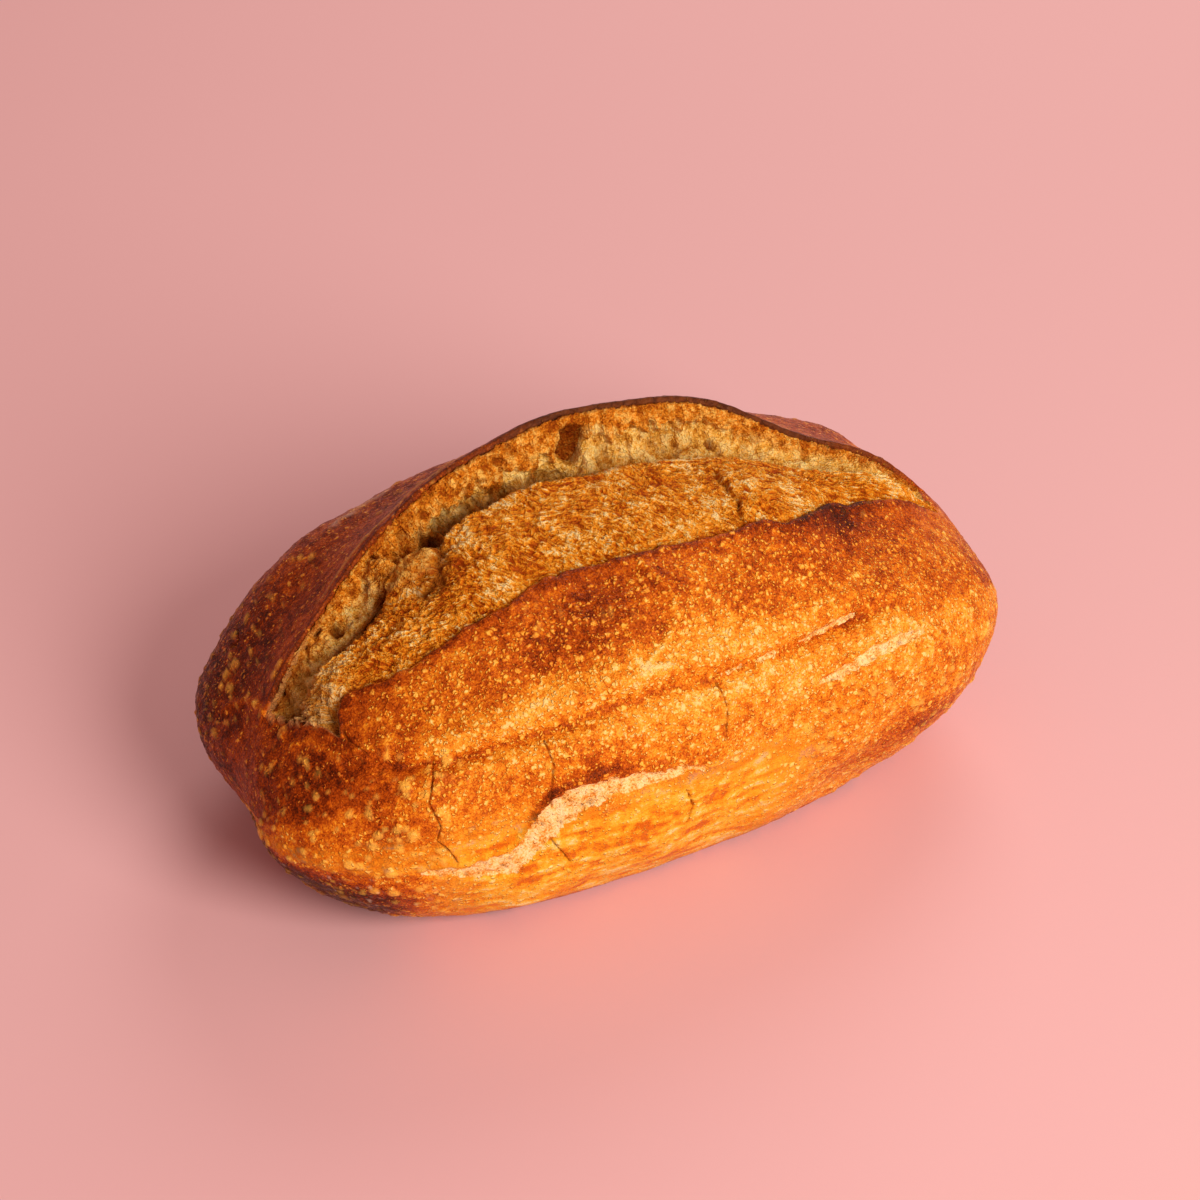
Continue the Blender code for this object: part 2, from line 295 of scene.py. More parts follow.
def hull(phi, angle):
    """Points of the plain hull: phi runs from the left end to the right one, angle round the section."""
    cosine, sine = np.cos(phi), np.sin(phi)
    square = np.abs(cosine) ** LENGTH_SQUARENESS + np.abs(sine) ** LENGTH_SQUARENESS
    along = -cosine / square ** (1.0 / LENGTH_SQUARENESS)
    plan = np.clip(1.0 - np.abs(along) ** PLAN_BLUNTNESS, 0.0, 1.0) ** (1.0 / PLAN_ROUNDNESS)
    crown = np.clip(1.0 - np.abs(along) ** CROWN_BLUNTNESS, 0.0, 1.0) ** (1.0 / CROWN_ROUNDNESS)
    keel = np.clip(1.0 - np.abs(along) ** KEEL_BLUNTNESS, 0.0, 1.0) ** (1.0 / KEEL_ROUNDNESS)
    turn = np.radians(angle)
    side, rise = np.sin(turn), np.cos(turn)
    upper = BACK_SQUARENESS + (FRONT_SQUARENESS - BACK_SQUARENESS) * ramp(side, -0.5, 0.5)
    power = np.where(rise > 0.0, upper, LOWER_SQUARENESS)
    reach = (np.abs(side) ** power + np.abs(rise) ** power) ** (-1.0 / power)
    width = np.where(side > 0.0, FRONT_WIDTH, BACK_WIDTH)
    height = np.where(rise > 0.0, (HULL_HEIGHT - END_HEIGHT) * crown, (END_HEIGHT + SUNK_DEPTH) * keel)
    y = -width * plan * reach * side
    z = END_HEIGHT + height * reach * rise
    blend = (z + FLOOR_ROUNDING) ** 2 / (4.0 * FLOOR_ROUNDING)
    z = np.where(z > FLOOR_ROUNDING, z, np.where(z < -FLOOR_ROUNDING, 0.0, blend))
    return np.stack(np.broadcast_arrays(HALF_LENGTH * along, y, z), axis=-1)


def hull_normal(phi, angle):
    """Outward normals of the hull, from its slopes along and around."""
    step_phi, step_angle = 0.002, 0.1
    inner = np.clip(phi, step_phi * 2, math.pi - step_phi * 2)
    along = hull(inner + step_phi, angle) - hull(inner - step_phi, angle)
    around = hull(inner, angle + step_angle) - hull(inner, angle - step_angle)
    normal = np.cross(around, along)
    return normal / np.maximum(np.linalg.norm(normal, axis=-1, keepdims=True), 1e-12)


def through(places, values, at):
    """A smooth curve through values at places, without overshoot. values has one row for each place."""
    places = np.asarray(places, float)
    width = np.diff(places)[:, None]
    slope = np.diff(values, axis=0) / width
    left, right = slope[:-1], slope[1:]
    same = left * right > 0.0
    mean = 2.0 * left * right / np.where(same, left + right, 1.0)
    tangent = np.concatenate([slope[:1], np.where(same, mean, 0.0), slope[-1:]])
    cell = np.clip(np.searchsorted(places, at, side="right") - 1, 0, len(places) - 2)
    column = np.arange(len(at))
    span = width[cell, 0]
    t = (at - places[cell]) / span
    low, high = values[cell, column], values[cell + 1, column]
    low_slope, high_slope = tangent[cell, column] * span, tangent[cell + 1, column] * span
    return (
        low * (1 + 2 * t) * (1 - t) ** 2
        + low_slope * t * (1 - t) ** 2
        + high * t * t * (3 - 2 * t)
        + high_slope * t * t * (t - 1)
    )


def route_value(route, values, x):
    """A value that changes smoothly along a line drawn on the loaf, at x."""
    places = np.array([point[0] for point in route], float)
    rows = np.repeat(np.array(values, float)[:, None], len(x), axis=1)
    return through(places, rows, np.clip(x, places[0], places[-1]))


def route_angle(route, x):
    return route_value(route, [point[1] for point in route], x)


def within(route, x, fade):
    """1 along a route's length, fading out over its last stretches."""
    first, last = route[0][0], route[-1][0]
    start = ramp(x, first - 0.3 * fade, first + 0.7 * fade)
    return start * (1.0 - ramp(x, last - 0.7 * fade, last + 0.3 * fade))


def slash_share(x, left=SLASH_LEFT, right=SLASH_RIGHT):
    """0 at the ends of the slash and 1 at its middle."""
    share = (x - (left + right) / 2) / ((right - left) / 2)
    return np.clip(1.0 - share**2, 0.0, 1.0)


def wander(x, size, seed):
    """Unevenness of a line along the loaf."""
    return rough(np.stack([x, 0.0 * x + 3.3, 0.0 * x + 7.7], axis=-1), size, seed)


def heaped(x):
    """1 where the bloom is heaped against the wall, left of the middle."""
    return ramp(x, -92, -58) * (1.0 - ramp(x, -24, 6))


def top_rails(x):
    """Places, angles and heights above the hull of the lines that run over the top, back to front."""
    swell = slash_share(x)
    opening = ramp(swell, 0.0, 0.16)
    lifting = ramp(slash_share(x, LIP_LEFT, LIP_RIGHT), 0.0, 0.2)
    ear = EAR_ANGLE_END + (EAR_ANGLE_MIDDLE - EAR_ANGLE_END) * swell**EAR_BOW
    lift = EAR_LIFT * swell**EAR_LIFT_SHAPE + 0.8 * opening
    groove = GROOVE_ANGLE_END + (GROOVE_ANGLE_MIDDLE - GROOVE_ANGLE_END) * swell**GROOVE_BOW
    groove = np.maximum(groove, ear + 4.0) + opening * (0.5 * wander(x, 17, 3) + 0.35 * wander(x, 5, 4))
    depth = GROOVE_DEPTH * opening
    wall = ear + (groove - ear) * (1.0 - WALL_LEAN)
    lip = route_angle(LIP_ROUTE, x) + lifting * (1.0 * wander(x, 9, 5) + 0.8 * wander(x, 3.2, 6))
    lip = np.maximum(lip, groove + 6.0)
    thickness = EAR_THICKNESS * opening
    heap = heaped(x)
    slit = ramp(-x, 78, 90) * (1.0 - ramp(-x, 112, 120))
    plug = np.exp(-(((x - KNOB_PLACE) / 9.5) ** 4))
    back = ROUND_CORNERS[0] + 0.0 * x
    front = ROUND_CORNERS[1] + 0.0 * x
    ragged = LIP_HEIGHT * (1.0 + 0.5 * wander(x, 7, 8) + 0.35 * wander(x, 2.4, 9))
    swelling = 0.75 * BLOOM_RISE * lifting - 0.5 * depth * (1.0 - lifting)
    foot = -depth * (1.0 - plug) - 2.0 * slit + 0.6 * heap + 2.0 * plug
    rails = (
        (0.00, back, 0.0 * x),
        (0.14, back + (ear - back) * 0.50, 0.22 * lift),
        (0.27, back + (ear - back) * 0.86, 0.74 * lift),
        (0.36, ear - 0.3, lift),
        (0.40, ear + 0.6 * opening, lift - thickness),
        (0.50, wall, 0.42 * (lift - thickness) - 0.35 * depth),
        (0.58, groove - 0.9 * opening, 0.06 * lift - 0.95 * depth * (1.0 - plug) + 1.5 * plug),
        (0.62, groove + 0.8 * opening - 0.8 * heap, foot),
        (0.68, groove + (lip - groove) * (0.20 - 0.09 * heap), swelling + 3.4 * heap),
        (0.78, groove + (lip - groove) * 0.55, BLOOM_RISE * lifting + 1.0 * heap),
        (0.875, lip - 0.8, -0.6 * LIP_DEPTH * lifting),
        (0.90, lip + 0.5, ragged * lifting),
        (0.94, lip + (front - lip) * 0.25, 0.5 * lifting),
        (1.00, front, 0.0 * x),
    )
    return (
        np.array([rail[0] for rail in rails]),
        np.array([rail[1] for rail in rails]),
        np.array([rail[2] for rail in rails]),
    )


def ring_place(ring, x):
    """Angle and height above the hull round the ring: 0 to 1 is the top, then front, floor and back."""
    angle = np.interp(ring, range(len(ROUND_CORNERS)), ROUND_CORNERS)
    height = np.zeros_like(angle)
    top = (ring >= 0.0) & (ring <= 1.0)
    places, angles, heights = top_rails(x[top])
    angle[top] = through(places, angles, ring[top])
    height[top] = through(places, heights, ring[top])
    return angle, height


def wall_level(ring):
    """How far up the torn wall a place is: 0 at its foot and 1 under the ear."""
    return (0.62 - ring) / (0.62 - 0.40)


def crags(ring, x):
    """Hollows and one knob in the torn wall."""
    up = wall_level(ring)
    depth = np.zeros_like(x)
    for where, level, deep, length, share in WALL_CRAGS:
        near = ((x - where) / length) ** 2 + ((up - level) / share) ** 2
        depth += deep * np.exp(-(near**1.5))
    return depth * ramp(up, -0.35, 0.15) * (1.0 - ramp(up, 0.80, 1.05))


def lumps(points):
    """Slow swellings of the crust: a sum of waves in seeded directions."""
    draw = np.random.default_rng(LUMP_SEED)
    total = np.zeros(len(points))
    for _ in range(LUMP_WAVES):
        direction = draw.normal(size=3)
        direction /= np.linalg.norm(direction)
        length = draw.uniform(LUMP_SHORTEST, LUMP_LONGEST)
        total += np.sin(2 * math.pi * (points @ direction) / length + draw.uniform(0, 2 * math.pi))
    return total * LUMP_HEIGHT * math.sqrt(2.0 / LUMP_WAVES)


def from_up(angle):
    """The same angle counted from straight up, negative towards the back."""
    return (angle + 180.0) % 360.0 - 180.0


def tear_place(route, widths, x, angle):
    """How far across a tear a point is, -1 to 1 between its edges, and the tear's half width there."""
    width = route_value(route, widths, x)
    return (angle - route_angle(route, x)) * FLANK_STEP / width, width


def line_gap(lines, x, angle):
    """Distance on the crust to the nearest of some drawn lines, in millimetres."""
    place = np.stack([x, from_up(angle) * FLANK_STEP], axis=-1)
    nearest = np.full(len(x), 99.0)
    for line in lines:
        points = np.array(line, float) * (1.0, FLANK_STEP)
        for start, end in zip(points[:-1], points[1:]):
            run = end - start
            share = np.clip((place - start) @ run / (run @ run), 0.0, 1.0)
            gap = np.linalg.norm(place - start - share[:, None] * run, axis=-1)
            nearest = np.minimum(nearest, gap)
    return nearest


def hull_place(phi, ring):
    """The loaf's main form at phi along it and ring round it, with what the finishes need to know."""
    x = hull(phi, np.zeros_like(phi))[:, 0]
    angle, height = ring_place(ring, x)
    points, normal = hull(phi, angle), hull_normal(phi, angle)
    clear = ramp(points[:, 2], 0.5, 14.0)
    height = height + lumps(points) * clear
    top = (ring >= 0.0) & (ring <= 1.0)
    height[top] -= crags(ring[top], x[top]) * slash_share(x[top]) ** 0.3
    return points, normal, height, x, angle, clear


def net_places(cube):
    """phi and ring of the crust's net, from where its points lie on a cube."""
    x, y, z = cube.T
    out = np.maximum(np.maximum(np.abs(y), np.abs(z)), 1e-9)
    rows = (-1.0, -0.38, -0.22, -0.10, -0.02, 0.02, 1.0)
    top = np.interp(-y / out, rows, (-0.20, 0.33, 0.38, 0.42, 0.86, 0.91, 1.35))
    front = 1.665 - 0.315 * z / out
    floor = 2.50 + 0.52 * y / out
    back = 3.41 + 0.39 * z / out
    ring = np.where(
        z >= out - 1e-7, top, np.where(y <= -out + 1e-7, front, np.where(z <= -out + 1e-7, floor, back))
    )
    ring = np.where(ring < 0.0, ring + 4.0, ring)
    cap = math.radians(CAP_ANGLE)
    side = cap + (math.pi - 2 * cap) * (x + 1.0) / 2.0
    phi = np.where(out < 1.0 - 1e-6, np.where(x < 0, cap * out, math.pi - cap * out), side)
    return phi, ring


def slash_mask(ring, x, angle):
    """0 on the crust and 1 on the torn crumb, with 0.5 along the crust's edge."""
    from_front = from_up(angle)
    flank = from_front * FLANK_STEP
    left_end = -127.0 + np.clip(from_front + 8.0, 0.0, 26.0) * 0.43 + 0.8 * wander(flank, 4, 21)
    right_end = 124.5 + 0.8 * wander(flank, 4, 22)
    ends = ramp(x, left_end - 1.6, left_end + 1.6) * (1.0 - ramp(x, right_end - 1.6, right_end + 1.6))
    inside = (ring >= 0.30) & (ring <= 1.0)
    rim = 0.374 + 0.006 * ramp(x, -70, -20) - 0.005 * ramp(x, 50, 90) + 0.0025 * wander(x, 3, 23)
    fray = ring + 0.005 * rough(np.stack([x, from_front * UNROLLED_STEP, 0.0 * x], axis=-1), 2.6, 24)
    across = ramp(ring, rim - 0.004, rim + 0.016) * (1.0 - ramp(fray, 0.868, 0.892))
    return np.where(inside, ends * across, 0.0)


def wall_share(ring):
    """1 on the wall under the ear and 0 on the bloom in front of it."""
    return ramp(wall_level(ring), -0.04, 0.10)


def set_values(mesh, **values):
    """Writes each list of numbers to the mesh as a value on its points."""
    for name, value in values.items():
        layer = mesh.attributes.new(name, "FLOAT", "POINT")
        layer.data.foreach_set("value", np.clip(value, -2.0, 2.0).astype(np.float32))


def read_net(mesh):
    net = np.empty(len(mesh.vertices) * 3, np.float32)
    mesh.attributes["net"].data.foreach_get("vector", net)
    return net.reshape(-1, 3).astype(float)


def read_points(mesh):
    points = np.empty(len(mesh.vertices) * 3, np.float32)
    mesh.vertices.foreach_get("co", points)
    return points.reshape(-1, 3).astype(float)


def write_points(mesh, points):
    """Moves the drawn loaf to the middle of its box, in metres."""
    moved = points - np.array([MIDDLE[0], MIDDLE[1], 0.0])
    mesh.vertices.foreach_set("co", (moved * MM).astype(np.float32).ravel())
    mesh.update()


def read_normals(mesh):
    normals = np.empty(len(mesh.vertices) * 3, np.float32)
    mesh.vertices.foreach_get("normal", normals)
    return normals.reshape(-1, 3).astype(float)


def closed_mesh(name, net):
    bmesh.ops.recalc_face_normals(net, faces=net.faces)
    mesh = bpy.data.meshes.new(name)
    net.to_mesh(mesh)
    net.free()
    return mesh


def loaf_piece(name, mesh, material):
    mesh.materials.append(material)
    mesh.shade_smooth()
    piece = bpy.data.objects.new(name, mesh)
    bpy.context.scene.collection.objects.link(piece)
    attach(piece, "root")
    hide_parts("loaf")
    return piece


def one_side(from_front):
    """1 on the flanks, fading to 0 along the middle of the floor, where front and back meet."""
    return 1.0 - ramp(np.abs(from_front), 122.0, 174.0)


def bake_tone(x, from_front, z):
    """How dark the crust is baked: 0 pale gold, 0.5 orange brown, 1 nearly black."""
    side = one_side(from_front)
    tone = 0.42 - 0.17 * ramp(from_front, 50, 60) * side
    for along, round_, half_length, half_width, change in BAKE_PATCHES:
        away_from = ((x - along) / half_length) ** 2 + ((from_front - round_) / half_width) ** 2
        tone += change * np.exp(-away_from)
    tone += 0.13 * ramp(-x, 84, 124)
    tone += 0.15 * ramp(-from_front, 4, 30) * (1.0 - 0.45 * ramp(x, 30, 100)) * side
    tone += 0.20 * (1.0 - ramp(z, 1.0, 8.0)) + 0.42 * ramp(from_front, 90, 116) * ramp(-x, 88, 116) * side
    below_lip = from_front - route_angle(LIP_ROUTE, x)
    tone += 0.15 * np.exp(-(((below_lip - 1.2) / 2.0) ** 2)) * within(LIP_ROUTE, x, 12)
    return tone


def golden_share(x, from_front):
    """The bright band low on the front flank, where the dough stretched late."""
    up_and_down = ramp(from_front, 79, 90) * (1.0 - ramp(from_front, 120, 130))
    return up_and_down * ramp(x, -104, -74) * (1.0 - ramp(x, 6, 54))


def crust_net():
    """The crust's net of faces, finer along its cracks."""
    mesh = bmesh.new()
    bmesh.ops.create_cube(mesh, size=2.0)
    for axis, cells in enumerate(CRUST_CELLS):
        edges = []
        for edge in mesh.edges:
            run = edge.verts[1].co - edge.verts[0].co
            if abs(run[axis]) > 1e-6 and abs(run[(axis + 1) % 3]) + abs(run[(axis + 2) % 3]) < 1e-6:
                edges.append(edge)
        bmesh.ops.subdivide_edges(mesh, edges=edges, cuts=cells - 1, use_grid_fill=True)
    for _ in range(CRUST_DOUBLINGS):
        bmesh.ops.subdivide_edges(mesh, edges=mesh.edges[:], cuts=1, use_grid_fill=True)
    for reach in CRACK_REACHES:
        cube = np.array([vertex.co for vertex in mesh.verts])
        phi, ring = net_places(cube)
        x = hull(phi, np.zeros_like(phi))[:, 0]
        near = line_gap(CRACKS, x, ring_place(ring, x)[0]) < reach
        mesh.verts.index_update()
        edges = [edge for edge in mesh.edges if near[edge.verts[0].index] and near[edge.verts[1].index]]
        bmesh.ops.subdivide_edges(mesh, edges=edges, cuts=1, use_grid_fill=True)
    return mesh


def crust_form():
    """The crust's main form. Under the slash it is sunk below the crumb."""
    net = crust_net()
    cube = np.array([vertex.co for vertex in net.verts])
    phi, ring = net_places(cube)
    points, normal, height, x, angle, clear = hull_place(phi, ring)
    mask = slash_mask(ring, x, angle)
    wall = wall_share(ring)
    hole = np.exp(-(((x - HOLE_MIDDLE) / HOLE_REACH) ** 2))
    height -= (UNDER_CRUST + (UNDER_WALL + HOLE_UNDER * hole) * wall) * ramp(mask, 0.5, 1.0)
    points = points + normal * (height * np.where(points[:, 2] > 0.5, clear, 0.0))[:, None]
    points[:, 1] += (BEHIND_WALL + HOLE_BEHIND * hole) * wall * ramp(mask, 0.5, 0.8)
    points[:, 2] = np.maximum(points[:, 2], 0.0)
    layer = net.verts.layers.float_vector.new("net")
    for vertex, point, place in zip(net.verts, points, cube):
        vertex[layer] = place
        vertex.co = point
    flat = [face for face in net.faces if all(vertex.co.z < 1e-6 for vertex in face.verts)]
    bmesh.ops.dissolve_faces(net, faces=flat, use_verts=True)
    return closed_mesh("crust", net)


def tear_relief(points, x, a):
    """The stretched tears: how torn the crust is, its dark lip, the tears' pores and the height."""
    tear, lip, height = (np.zeros(len(x)) for _ in range(3))
    for route, widths, depth, seed in TEARS:
        across, width = tear_place(route, widths, x, a)
        ragged = 1.9 * rough(points, 5.5, seed) + 1.2 * rough(points, 2.4, seed + 20)
        across = across + ragged / np.maximum(width, 2.4)
        along = within(route, x, 9)
        if route is SEAM_ROUTE:
            along *= ramp(rough(points, 7, 34) + 0.5 * rough(points, 3, 35), -0.35, 0.15)
        inside = (1.0 - ramp(np.abs(across), 0.82, 1.02)) * ramp(along, 0.15, 0.5)
        tear = np.maximum(tear, inside)
        beyond = (across + 1.0) * width
        height += 1.1 * min(depth, 1.0) * np.exp(-((beyond + 1.5) ** 2) / 2.6) * along - depth * inside
        if route is LONG_TEAR_ROUTE:
            lip = np.exp(-((beyond + 2.6) ** 2) / 9.0) * ramp(x, -84, -66) * (1.0 - ramp(x, -34, -8))
            lip *= across < 0.0
    crumb = rough(points, 4.5, 35) * 0.7 + rough(points, 2.2, 36) * 0.6
    pores, pore_radius = bubbles(points, 2.2, 56, share=0.6, smallest=0.2, largest=0.5)
    height += tear * (crumb - 0.8 * pore_radius * np.sqrt(pores))
    return tear, lip, tear * ramp(pores, 0.1, 0.6), height


def blister_relief(points, x, a, many, left_low, smooth_front):
    """Blisters of four sizes: how far up one each point is, large, medium and round, and the height."""
    large, large_radius = bubbles(points, 6.2, 41, share=0.65, smallest=0.18, largest=0.42)
    medium, medium_radius = bubbles(points, 3.3, 42, share=0.75, smallest=0.20, largest=0.46)
    small, small_radius = bubbles(points, 2.1, 43, share=0.8, smallest=0.26, largest=0.5)
    discs, disc_radius = bubbles(points, 4.3, 47, share=0.7, smallest=0.24, largest=0.46)
    large = large * ramp(rough(points, 13, 44) + 2.2 * many, 0.75, 1.25)
    right_low = ramp(x, 10, 50) * ramp(a, 62, 76) * one_side(a)
    discs = discs * ramp(left_low + right_low + 0.5 * rough(points, 10, 48), 0.35, 0.75)
    discs = discs * ramp(a, 44, 56) * (1.0 - ramp(large, 0.0, 0.1))
    medium = medium * ramp(rough(points, 11, 45) + 1.8 * many, 0.35, 0.95)
    small = small * ramp(rough(points, 9, 46) + 0.6 * smooth_front + 0.5 * many + 0.3, 0.1, 0.7)
    flat_tops = 1.0 - (1.0 - large) ** 3
    height = 0.30 * large_radius * flat_tops + 0.34 * medium_radius * medium
    height += 0.26 * small_radius * small + 0.36 * disc_radius * discs
    return flat_tops, medium, discs, height


def make_crust(material):
    mesh = crust_form()
    phi, ring = net_places(read_net(mesh))
    points = read_points(mesh)
    _, _, _, x, angle, _ = hull_place(phi, ring)
    a = from_up(angle)
    z = points[:, 2]
    mask = slash_mask(ring, x, angle)
    hidden = ramp(mask, 0.5, 0.7)

    crease = within(CREASE_ROUTE, x, 34)
    off = (a - route_angle(CREASE_ROUTE, x)) * FLANK_STEP / CREASE_WIDTH + 0.35 * rough(points, 9, 30)
    height = -CREASE_DEPTH * crease * np.exp(-(off**2)) + 1.0 * crease * np.exp(-((off + 2.3) ** 2) / 2.5)
    # A thin dark line along the bottom of the crease: painted shade.
    crease_shade = np.exp(-((2.2 * off) ** 2)) * crease
    tear, tear_lip, pores, torn_height = tear_relief(points, x, a)
    height += torn_height

    gap = line_gap(CRACKS, x, angle) + 0.25 * rough(points, 2.0, 40)
    crack = 1.0 - ramp(gap, 0.0, CRACK_WIDTH)
    height += 0.2 * np.exp(-((gap - 1.0) ** 2) / 0.35) - CRACK_DEPTH * crack
    fold = np.exp(-(((line_gap(FOLDS, x, angle) + 0.5 * rough(points, 3.5, 39)) / 0.8) ** 2))
    height += fold

    # Where on the loaf each kind of skin lies.
    side = one_side(a)
    golden = golden_share(x, a) * (1.0 - 0.9 * ramp(a, 84, 106) * ramp(-x, 78, 104))
    left_low = ramp(-x, 76, 104) * ramp(a, 36, 50) * side
    back = ramp(-a, 18, 40) * side
    smooth_front = ramp(a, 16, 30) * (1.0 - ramp(a, 56, 70)) * (1.0 - ramp(-x, 80, 110))
    many = 0.16 + 0.9 * left_low + 0.3 * ramp(-x, 104, 122) + 0.2 * back - 0.1 * smooth_front - 0.1 * golden
    many = np.clip(many, 0.0, 1.0)
    flat_tops, medium, discs, blistered = blister_relief(points, x, a, many, left_low, smooth_front)
    plain = (1.0 - tear) * (1.0 - crack) * (1.0 - ramp(mask, 0.2, 0.5))
    height += plain * blistered
    height += 0.42 * rough(points, 15, 50) + 0.26 * rough(points, 6, 51) + 0.16 * rough(points, 2.8, 52)
    stretched = points * (0.22, 1.0, 1.0)
    streak = rough(stretched, 3.4, 53) + 0.6 * rough(stretched, 1.7, 54)
    height += golden * 0.22 * streak + (1.0 - golden) * ramp(a, 50, 60) * 0.10 * streak

    behind_ear = np.exp(-(((ring - 0.307) / 0.0045) ** 2)) * ramp(x, -100, -84) * (1.0 - ramp(x, -40, -26))
    end_rim = ramp(mask, 0.02, 0.45) * (1.0 - ramp(mask, 0.5, 0.7)) * ramp(-x, 104, 110) * ramp(a, -8, -3)
    height += 0.60 * behind_ear + 0.7 * end_rim
    moved = points + read_normals(mesh) * (height * ramp(z, 0.6, 4.0))[:, None]
    moved[:, 2] = np.maximum(moved[:, 2], 0.0)
    write_points(mesh, moved)

    tone = bake_tone(x, a, z) + 0.20 * crease_shade * (1.0 - golden)
    tone -= 0.22 * flat_tops + 0.12 * medium + 0.22 * fold
    on_ear = ramp(ring, 0.322, 0.350) * (1.0 - ramp(ring, 0.392, 0.402)) * ramp(slash_share(x), 0.02, 0.2)
    burnt = on_ear * (0.30 + 0.62 * ramp(x, -45, 0)) * (1.0 - 0.3 * ramp(x, 78, 110)) * (1.0 - hidden)
    scorched = ramp(a + 9.0 * rough(moved, 4.0, 49), 104, 120) * ramp(-x, 96, 118) * side
    tone += 0.30 * tear_lip + 0.12 * on_ear
    # Crust hidden under the crumb shows only inside the wall's hole; its dark tone there is painted shade,
    # deeper under the wall.
    tone = tone + (0.62 + 0.22 * wall_share(ring) - tone) * hidden
    dusted = np.clip(ramp(-a, 40, 60) * 0.5 + ramp(a, 90, 106) * ramp(-x, 84, 110) * 0.9, 0.0, 1.0)
    flour = 0.8 * ramp(rough(moved, 7, 60) * 0.5 + rough(moved, 1.6, 61), 0.45, 0.9) * dusted * side
    crest = line_gap(FLOURED_FOLD, x, angle) + 0.9 * rough(moved, 3.0, 62)
    fine = 0.30 + 0.70 * smooth_front + 0.35 * ramp(a, 50, 60) * side
    fine += 0.25 * back - 0.30 * golden - 0.30 * left_low
    pale_end = 0.3 * ramp(-x, 50, 80) * ramp(a, 70, 80) * (1.0 - ramp(a, 90, 96))
    set_values(
        mesh,
        tone=tone,
        golden=np.clip(golden + pale_end, 0.0, 1.0),
        torn=tear,
        burnt=np.maximum(burnt, 0.5 * scorched),
        # The cracks, which are also cut into the crust, and the tears' pores, both darkened in the finish:
        # painted shade.
        crack=np.maximum(crack, 0.8 * pores),
        blister=np.maximum(np.maximum(flat_tops, 0.8 * medium), 1.0 - (1.0 - discs) ** 3) * plain,
        edge=np.maximum(0.65 * behind_ear, end_rim),
        flour=np.maximum(flour, 0.7 * np.exp(-((crest / 1.2) ** 2))),
        fine=np.clip(fine * (1.0 - hidden), 0.0, 1.0),
        streak=streak,
    )
    return loaf_piece("crust", mesh, material)


def crumb_net():
    mesh = bmesh.new()
    bmesh.ops.create_grid(mesh, x_segments=CRUMB_CELLS[0], y_segments=CRUMB_CELLS[1], size=1.0)
    return mesh


def fibres(points, x, across, turn, size, seed):
    """Long thin ridges of pulled dough, at a turn in degrees from the loaf's length."""
    turn = math.radians(turn)
    beside = across * math.cos(turn) - x * math.sin(turn) + 2.0 * rough(points, 8.0, seed + 40)
    flow = np.stack([(x * math.cos(turn) + across * math.sin(turn)) / 6.0, beside, 0.0 * x], axis=-1)
    return (1.0 - np.abs(rough(flow, size, seed))) ** 3


def crumb_form():
    """The torn crumb's main form: wall, groove and bloom, with a skirt down inside the loaf."""
    net = crumb_net()
    grid = np.array([vertex.co for vertex in net.verts])
    table = np.linspace(0.0, math.pi, 4000)
    x_table = hull(table, np.zeros_like(table))[:, 0]
    phi = np.interp(CRUMB_MIDDLE + CRUMB_HALF_LENGTH * grid[:, 0], x_table, table)
    ring = np.interp(-grid[:, 1], (-1.0, -0.84, -0.05, 0.06, 1.0), (0.364, 0.396, 0.60, 0.66, 0.898))
    points, normal, height, x, angle, _ = hull_place(phi, ring)
    height -= UNDER_CRUST * (1.0 - ramp(slash_mask(ring, x, angle), 0.0, 0.5))
    points = points + normal * height[:, None]
    layer = net.verts.layers.float_vector.new("net")
    for vertex, point, a_phi, a_ring in zip(net.verts, points, phi, ring):
        vertex[layer] = (a_phi, a_ring, 0.0)
        vertex.co = point
    rim = [edge for edge in net.edges if edge.is_boundary]
    for part in bmesh.ops.extrude_edge_only(net, edges=rim)["geom"]:
        if isinstance(part, bmesh.types.BMVert):
            part.co.z = CRUMB_FLOOR
            part[layer] = (part[layer][0], part[layer][1], 1.0)
    rim = [edge for edge in net.edges if edge.is_boundary]
    bmesh.ops.holes_fill(net, edges=rim, sides=0)
    return closed_mesh("torn_crumb", net)


def knob_relief(points, x, up):
    """The knob on the torn wall, and the shaded gap beside it."""
    along = (x - KNOB_PLACE + 4.0 * (up - 0.2)) / KNOB_HALF_LENGTH
    level = (up - KNOB_LEVEL) / KNOB_HALF_HEIGHT
    place = np.clip(along**2 + level**2 + 0.35 * rough(points, 4, 79), 0.0, None)
    moat = np.exp(-(((np.sqrt(place) - 1.22) / 0.17) ** 2)) * ramp(along - 0.8 * level, 0.0, 0.7)
    return np.exp(-(place**2)), moat


def wall_pits(points, x, up, roof):
    """Depths of the torn wall's pores and of its hollows."""
    wide, wide_radius = bubbles(points, 6.0, 74, share=0.6, smallest=0.16, largest=0.42)
    narrow, narrow_radius = bubbles(points, 2.5, 75, share=0.6, smallest=0.18, largest=0.45)
    tiny, tiny_radius = bubbles(points, 1.5, 69, share=0.6, smallest=0.2, largest=0.5)
    pits = 1.25 * wide_radius * np.sqrt(wide) * (1.0 - 0.6 * roof) + 1.0 * narrow_radius * np.sqrt(narrow)
    pits += 1.1 * tiny_radius * np.sqrt(tiny)
    cave = np.zeros(len(x))
    for along, level, half_length, share, deep in CAVES:
        near = ((x - along) / half_length) ** 2 + ((up - level) / share) ** 2
        cave += deep * np.exp(-((near + 0.6 * rough(points, 3.6, 76)) ** 2 * 0.9))
    return pits, cave


